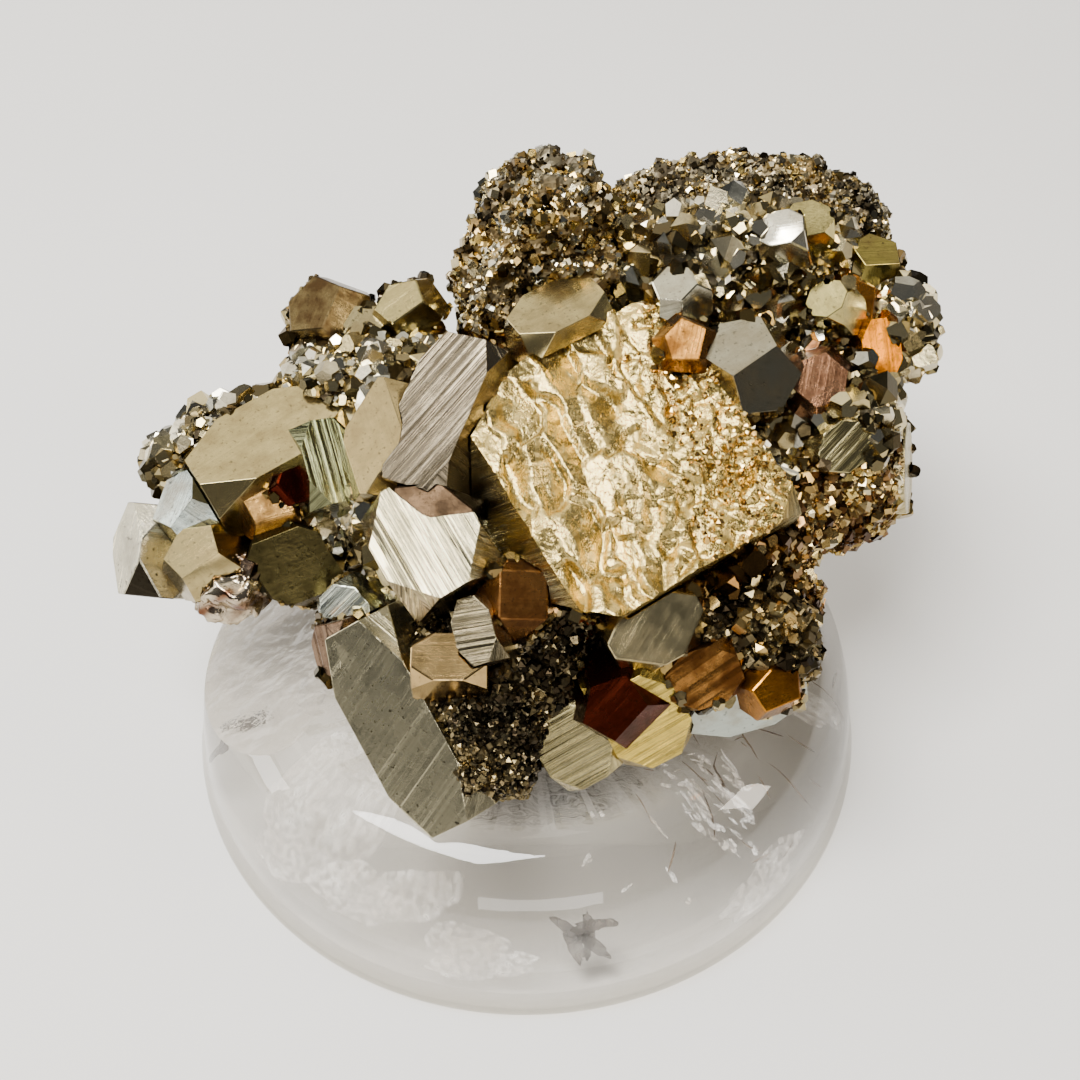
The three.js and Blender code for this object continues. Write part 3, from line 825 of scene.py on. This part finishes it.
def broken_cube():
    """The cube's solid with its top cut into small squares, which then rise and sink as broken facets: with
    u to the right and v to the back, long tilted shells and bent ones, less and less of them from u = 16 to
    28 mm, where smaller facets and grit take over. Its side is cut along the growth lines, which sink by
    seeded depths. Gives the mesh, and for each of its points whether it lies on the fracture."""
    shape = cad_copy("broken_cube_crystal")
    keep_walls(shape)
    top, side = face_toward(shape, CUBE_TOP), face_toward(shape, CUBE_SIDE)
    top_level, side_level = top.normal.dot(top.verts[0].co), side.normal.dot(side.verts[0].co)
    top, side = top.normal.copy(), side.normal.copy()
    line = Vector(SIDE_LINES)
    line = (line - side * line.dot(side)).normalized()
    across = side.cross(line)
    right = (Vector((1, 0, 0)) - top * top.x).normalized()
    back = top.cross(right)
    rng = np.random.default_rng(12)
    reach = [one.co.dot(across) for one in shape.verts]
    places = min(reach) + np.cumsum(rng.uniform(0.25, 0.95, 90)) * MM
    places = places[places < max(reach)]
    cut_across(shape, across, places, side)
    for way in (right, back):
        reach = [one.co.dot(way) for one in shape.verts]
        cut_across(shape, way, np.arange(min(reach), max(reach), FRACTURE_SQUARE * MM)[1:], top)
    mesh = bpy.data.meshes.new("broken_cube")
    shape.to_mesh(mesh)
    shape.free()
    points = read(mesh, "co", 3)
    up, out = np.array(top), np.array(side)
    on_top = np.abs(points @ up - top_level) < ON_FACE / 10
    on_side = (np.abs(points @ out - side_level) < ON_FACE / 10) & ~on_top
    u, v = points @ np.array(right) / MM, points @ np.array(back) / MM
    u, v = u - u[on_top].min(), v - v[on_top].mean()
    fine = np.clip((u - 16.0) / 12.0, 0.0, 1.0)
    bend = 0.6 * waves(np.stack([u, v, 0.0 * u], -1), 6.0, 31)
    shells = grainy(np.stack([u + 0.3 * v + bend, 0.42 * v, 0.0 * u], -1), 3.4, 11, tilt=1.9, step=0.10)
    small = grainy(np.stack([u - bend, 0.7 * v, 0.0 * u], -1), 2.3, 12, tilt=1.8, step=0.12)
    grit = grainy(np.stack([u, v, 0.0 * u], -1), 1.1, 13, tilt=1.7, step=0.2)
    lift = (1.0 - fine) * (1.15 * shells + 0.12 * small) + fine * (0.85 * small + 0.22 * grit)
    lift = np.clip(lift + 0.5 * waves(points / MM, 16.0, 33), -1.9, 1.3)
    points = points + up * (lift * on_top * MM)[:, None]
    depths = rng.uniform(0.0, 1.0, len(places)) * np.where(np.arange(len(places)) % 2, 1.0, 0.3)
    sink = np.interp(points @ np.array(across), places, depths) * SIDE_RELIEF * MM
    points = points - out * (sink * on_side)[:, None]
    mesh.vertices.foreach_set("co", points.astype(np.float32).ravel())
    mesh.update()
    growth_map(mesh, np.array([side, line, across]))
    gold = (1.0 - fine)[:, None] * linear(LEFT_GOLD) + fine[:, None] * np.array(linear(RIGHT_GOLD))
    gold = gold * (0.88 + 0.16 * waves(points / MM, 5.0, 6))[:, None]
    paint(mesh, np.where(on_top[:, None], gold, np.array(linear(SIDE_TINT))))
    return mesh, on_top


def fracture_finish():
    """Fresh broken pyrite, which is golden and bright, with finer folds and chips in it than the mesh has,
    and dirt in patches."""
    gold = Finish("golden_fracture")
    place = gold.place()
    tint = gold.node("ShaderNodeAttribute", {"attribute_name": "tint"})
    fold = gold.noise(gold.place((900.0, 500.0, 500.0)), 0.9, detail=5.0, roughness=0.7)
    chips = gold.node("ShaderNodeTexVoronoi", {"feature": "F1"}, {"Vector": place, "Scale": 1.5},
                      output="Distance")
    dirt = gold.ramp(gold.noise(place, 0.5, detail=6.0, roughness=0.7), (0.56, 0.0), (0.70, 1.0))
    colour = gold.mix(0.4 * dirt, tint, linear("86683A"))
    return gold.surface(Base_Color=colour, Metallic=1.0, Roughness=0.13 + 0.26 * fold,
                        Normal=gold.bump(fold + 0.3 * chips, 0.0004, 0.6))


# A face belongs to the fracture when all its corners do. There it shades smoothly.
cube_mesh, broken_points = broken_cube()
add_piece("broken_cube", cube_mesh, fracture_finish(), "bright_pyrite", "broken_cube_crystal")
cube_mesh.materials.append(FINISHES["cube_side"])
corner_point = read(cube_mesh, "vertex_index", 1, "loops", np.int32)
start = read(cube_mesh, "loop_start", 1, "polygons", np.int32)
broken = np.minimum.reduceat(broken_points[corner_point].astype(np.int32), start)
cube_mesh.polygons.foreach_set("material_index", 1 - broken)
cube_mesh.polygons.foreach_set("use_smooth", broken.astype(bool))
cube_mesh.update()

# ---- Druse -------------------------------------------------------------------------------------------------
# The crust of small crystals that grew last: thousands of pyrite cubes, blunt cubes, octahedra and
# pyritohedra, from a quarter of a millimetre to nearly four across. They cover the matrix between the large
# crystals, and sit in their gaps and hollows: bright on top, brown and dark lower down.


def hull(corners):
    """The convex skin of some corners, as points and triangles that face outwards."""
    shape = bmesh.new()
    for corner in corners:
        shape.verts.new(corner)
    bmesh.ops.convex_hull(shape, input=shape.verts)
    bmesh.ops.recalc_face_normals(shape, faces=shape.faces[:])
    bmesh.ops.triangulate(shape, faces=shape.faces[:])
    shape.verts.index_update()
    points = np.array([one.co for one in shape.verts])
    triangles = np.array([[one.index for one in face.verts] for face in shape.faces])
    shape.free()
    return points, triangles


def turned_corners(x, y, z):
    """The corners (x, y, z), (y, z, x) and (z, x, y) with every pair of signs."""
    signs = np.array(list(itertools.product((-1, 1), repeat=3)))
    return np.unique(np.concatenate([signs * way for way in ((x, y, z), (y, z, x), (z, x, y))]), axis=0)


CUBE = hull(turned_corners(0.45, 0.45, 0.45))
BLUNT_CUBE = hull(turned_corners(0.5, 0.5, 0.3))
PYRITOHEDRON = hull(np.concatenate([turned_corners(0.36, 0.36, 0.36), turned_corners(0.0, 0.54, 0.27)]))
CUBOCTAHEDRON = hull(turned_corners(0.55, 0.55, 0.0))
OCTAHEDRON = hull(turned_corners(0.65, 0.0, 0.0))


# In parts of a small crystal's size: how far from a large crystal it has to be, and how far inside the CAD
# box, which is more than any of its corners reaches.
CLEARANCE = 0.15
MARGIN = 0.95


def buried(spots, sizes):
    """True for spots inside a large crystal, or so near its faces that a small one would cover them."""
    inside = np.zeros(len(spots), bool)
    for normals, levels in walls:
        inside |= ((spots @ normals.T - levels).max(axis=1) < CLEARANCE * sizes)
    return inside


def skin(mesh):
    """A mesh's points in millimetres, its triangles and its points' normals."""
    mesh.calc_loop_triangles()
    triangles = read(mesh, "vertices", 3, "loop_triangles", np.int32)
    return read(mesh, "co", 3) / MM, triangles, read(mesh, "normal", 3)


def grow(name, surface, spread, sizes, tints, material, slot, seed, shapes, free=True):
    """A crust of small crystals on a surface, of sizes from small to large in millimetres, mostly small.
    Its triangles are drawn in proportion to their areas, a spot is drawn in each, and a seeded shape is
    turned, sized and put there, sunk a little. spread is how many crystals there are for each small times
    large square. Tints run from the dark to the bright end in patches. A free crust keeps clear of the
    large crystals."""
    rng = np.random.default_rng(seed)
    points, triangles, normals = surface
    a, b, c = (points[triangles[:, k]] for k in range(3))
    area = np.linalg.norm(np.cross(b - a, c - a), axis=1) / 2.0
    small, large = sizes
    count = int(area.sum() * spread / (small * large))
    drawn = rng.choice(len(triangles), count, p=area / area.sum())
    share = rng.dirichlet((1, 1, 1), count)
    spots = share[:, :1] * a[drawn] + share[:, 1:2] * b[drawn] + share[:, 2:] * c[drawn]
    size = small * (large / small) ** (rng.uniform(0, 1, count) ** 1.8)
    spots = spots + normals[triangles[drawn, 0]] * (size * rng.uniform(-0.15, 0.2, count))[:, None]
    margin = size[:, None] * MARGIN
    fits = ((spots - margin > low / MM) & (spots + margin < high / MM)).all(axis=1)
    if free:
        fits &= ~buried(spots * MM, size * MM)
    spots, size = spots[fits], size[fits]
    turn = rng.normal(size=(len(spots), 4))
    turn /= np.linalg.norm(turn, axis=1, keepdims=True)
    w, x, y, z = turn.T  # each crystal's unit quaternion, and below it the same turn as a matrix
    frames = np.stack([1 - 2 * (y * y + z * z), 2 * (x * y - z * w), 2 * (x * z + y * w),
                       2 * (x * y + z * w), 1 - 2 * (x * x + z * z), 2 * (y * z - x * w),
                       2 * (x * z - y * w), 2 * (y * z + x * w), 1 - 2 * (x * x + y * y)], axis=-1)
    frames = frames.reshape(-1, 3, 3)
    kind = rng.integers(0, len(shapes), len(spots))
    palette = np.array([linear(tint) for tint in tints])
    place = 0.5 + 0.42 * waves(spots, 9.0, seed) + rng.normal(0.0, 0.28, len(spots))
    colour = palette[np.clip(place * len(palette), 0, len(palette) - 1).astype(int)]
    colour = colour * rng.uniform(0.75, 1.15, (len(spots), 1))
    parts, colours = [], []
    for number, (corners, faces) in enumerate(shapes):
        own = kind == number
        stretch = rng.uniform(0.8, 1.2, (own.sum(), 1, 3))
        corner = np.einsum("nij,nkj->nki", frames[own], corners[None] * stretch) * size[own, None, None]
        corner = corner + spots[own, None]
        each = faces[None] + (np.arange(own.sum()) * len(corners))[:, None, None]
        parts.append((corner.reshape(-1, 3), each.reshape(-1, 3)))
        colours.append(np.repeat(colour[own], len(corners), axis=0))
    grown, faces = joined(parts)
    mesh = mesh_from_arrays(name, grown * MM, faces)
    paint(mesh, np.clip(np.concatenate(colours), 0.0, 1.0))
    add_piece(name, mesh, material, slot)


# Nothing grows on the underside, which rests on the dome.
ground, matrix_triangles, outward = skin(matrix)
middle = ground[matrix_triangles].mean(axis=1)
taken = middle[:, 2] < RESTING_HEIGHT + 0.2


def zone(low_corner, high_corner):
    """The part of the matrix inside a block, in millimetres, that no earlier zone holds."""
    held = ((middle > low_corner) & (middle < high_corner)).all(axis=1) & ~taken
    taken[held] = True
    return ground, matrix_triangles[held], outward


druse = pyrite_finish("druse_pyrite", "5A4426", 0.35, 0.10, 0.24, grain=0.2, pits=0.2)
dark_druse = pyrite_finish("dark_druse", "1C1610", 0.5, 0.18, 0.40, grain=0.5, pits=0.5)
brown_druse = pyrite_finish("brown_druse", "4A2A10", 0.35, 0.16, 0.34, grain=0.4, pits=0.4)

SILVERS = ("5C5848", "8C8468", "B0A684", "ACB0B0", "D0C8A8", "E0DCC8", "F4F4EE")
GOLDS = ("3A3428", "5C5038", "7C6C4C", "A89464", "CDB878", "D8D0B4")
GREYS = ("2C2A26", "403C34", "5C5850", "8C887C", "A8A496", "D4D0C4")
BROWNS = ("3C2C1C", "5C4830", "7C6244", "948058", "B09A6C", "BCAC84")
DARKS = ("1E1C18", "3A342C", "4C463A", "6C6450", "8C8064")
FINE = (CUBE, OCTAHEDRON, CUBOCTAHEDRON)
COARSE = (BLUNT_CUBE, CUBOCTAHEDRON, PYRITOHEDRON, PYRITOHEDRON)

grow("front_grit", zone((-60, -60, 25), (60, -14, 48)), 2.2, (0.5, 1.3), DARKS, dark_druse, "dark_pyrite", 1,
     FINE)
grow("ridge_crust", zone((-14, 16, 58), (12, 60, 90)), 0.9, (0.3, 1.4), GOLDS + SILVERS[3:], druse,
     "bright_pyrite", 2, FINE)
grow("top_crust", zone((12, 30, 56), (60, 60, 90)), 1.0, (0.28, 1.1), GREYS[1:] + GOLDS[3:], druse,
     "bright_pyrite", 3, FINE)
grow("right_crust", zone((10, -10, 54), (60, 30, 90)), 2.3, (1.0, 3.8), SILVERS, druse, "bright_pyrite", 4,
     COARSE)
grow("right_edge_crust", zone((36, -30, 25), (60, 34, 58)), 2.2, (0.45, 1.5), BROWNS + GOLDS[3:], brown_druse,
     "brown_pyrite", 5, FINE)
grow("left_crust", zone((-60, -30, 25), (-8, 60, 90)), 2.2, (0.8, 3.2), SILVERS, druse, "bright_pyrite", 6,
     COARSE)
grow("back_crust", zone((-60, -60, 25), (60, 60, 90)), 1.8, (0.9, 2.8), BROWNS, druse, "bright_pyrite", 7,
     COARSE)

grow("black_grit", skin(black.data), 1.6, (0.35, 0.9), DARKS, dark_druse, "dark_pyrite", 8, FINE, free=False)
grow("hollow_grit", skin(hollow.data), 1.6, (0.5, 1.8), DARKS + BROWNS[3:], dark_druse, "dark_pyrite", 9,
     FINE, free=False)

# Fine golden crystals over the right of the fracture, from a wavy border 25 mm to the right of the middle.
GRAIN_TINTS = ("B89C64", "C8AA6C", "D4B678", "ECD498")
cube_points, cube_triangles, cube_normals = skin(cube_mesh)
rightward = cube_points[cube_triangles].mean(axis=1) @ np.array((1.0, 0.35, 0.1))
grained = rightward + 5.0 * waves(cube_points[cube_triangles[:, 0]], 7.0, 44) > 25.0
grained &= broken_points[cube_triangles].all(axis=1)
grow("fracture_grains", (cube_points, cube_triangles[grained], cube_normals), 0.3, (0.3, 0.8), GRAIN_TINTS,
     druse, "bright_pyrite", 10, FINE, free=False)

# Small crystals that grew on the steep sides of the large ones and fill the gaps between them. Steep faces
# turn well away from the front and top, and lie above the rim of the dome. The clean crystals have none.
CLEAN = ("half_disc", "violet_striated", "silver_striated", "brown_lens", "fine_striated", "top_tan", "blade",
         "tan_strip", "left_green", "left_tan", "left_blue", "left_end", "left_low_tan", "lower_grey",
         "lower_red", "lower_yellow", "lower_blue", "lower_step")
FRONT_AND_TOP = (0.0, -0.6, 0.8)
crusted = [skin(piece.data) for piece in big_crystals if piece.name not in CLEAN]
points, faces = joined([(one[0], one[1]) for one in crusted])
normals = np.concatenate([one[2] for one in crusted])
a, b, c = (points[faces[:, k]] for k in range(3))
facing = np.cross(b - a, c - a)
facing /= np.linalg.norm(facing, axis=1, keepdims=True) + 1e-9
steep = (facing @ np.array(FRONT_AND_TOP) < 0.25) & (a[:, 2] > 27.0)
grow("gap_crystals", (points, faces[steep], normals), 0.5, (0.6, 2.2), GREYS[:3] + SILVERS[:3] + GOLDS[1:4],
     druse, "bright_pyrite", 11, COARSE, free=False)

# ---- Stage -------------------------------------------------------------------------------------------------
# A plain pale floor. Lamps with wide soft faces stand above, behind and beside the specimen, because
# polished stone and metal show what is round them. A dim blue-grey sky fills in between.

LAMP_TARGET = (0, 0, 0.05)
SKY = (0.80, 0.82, 0.86, 1.0)
SKY_STRENGTH = 0.16

floor = bpy.data.objects.new("floor", mesh_from_arrays(
    "floor", [(-3, -3, 0), (3, -3, 0), (3, 3, 0), (-3, 3, 0)], [(0, 1, 2, 3)]))
bpy.context.collection.objects.link(floor)
pale = Finish("pale_floor")
floor.data.materials.append(pale.surface(
    Base_Color=pale.mix(pale.noise(pale.place((1.0, 1.0, 1.0)), 9.0), (0.74, 0.72, 0.69), (0.80, 0.79, 0.77)),
    Roughness=0.85))


def softbox(name, place, size, power, colour):
    """A rectangular lamp of width and height size at place, turned to face the specimen."""
    lamp = bpy.data.lights.new(name, "AREA")
    lamp.shape = "RECTANGLE"
    lamp.size, lamp.size_y = size
    lamp.energy = power
    lamp.color = colour
    holder = bpy.data.objects.new(name, lamp)
    bpy.context.collection.objects.link(holder)
    holder.location = place
    direction = Vector(LAMP_TARGET) - Vector(place)
    holder.rotation_euler = direction.to_track_quat("-Z", "Y").to_euler()
    holder.visible_camera = False


softbox("overhead", (-0.20, -0.18, 0.75), (0.44, 0.30), 13.0, (1.0, 0.99, 0.97))
softbox("back_wall", (0.05, 0.85, 0.70), (1.6, 0.60), 4.4, (1.0, 0.95, 0.84))
softbox("ceiling", (-0.12, 0.42, 0.85), (1.0, 0.46), 2.4, (1.0, 0.96, 0.87))
softbox("left_wall", (-0.62, 0.05, 0.62), (0.7, 0.5), 1.9, (1.0, 0.97, 0.92))
softbox("window", (-0.95, 0.12, 0.24), (0.6, 0.36), 6.0, (1.0, 0.98, 0.95))
softbox("right_fill", (0.75, -0.2, 0.42), (0.14, 0.4), 3.0, (1.0, 0.90, 0.76))
softbox("front_fill", (0.05, -0.8, 0.20), (0.5, 0.16), 1.6, (1.0, 0.97, 0.92))

world = bpy.data.worlds.new("studio")
bpy.context.scene.world = world
world.use_nodes = True
world.node_tree.nodes["Background"].inputs["Color"].default_value = SKY
world.node_tree.nodes["Background"].inputs["Strength"].default_value = SKY_STRENGTH
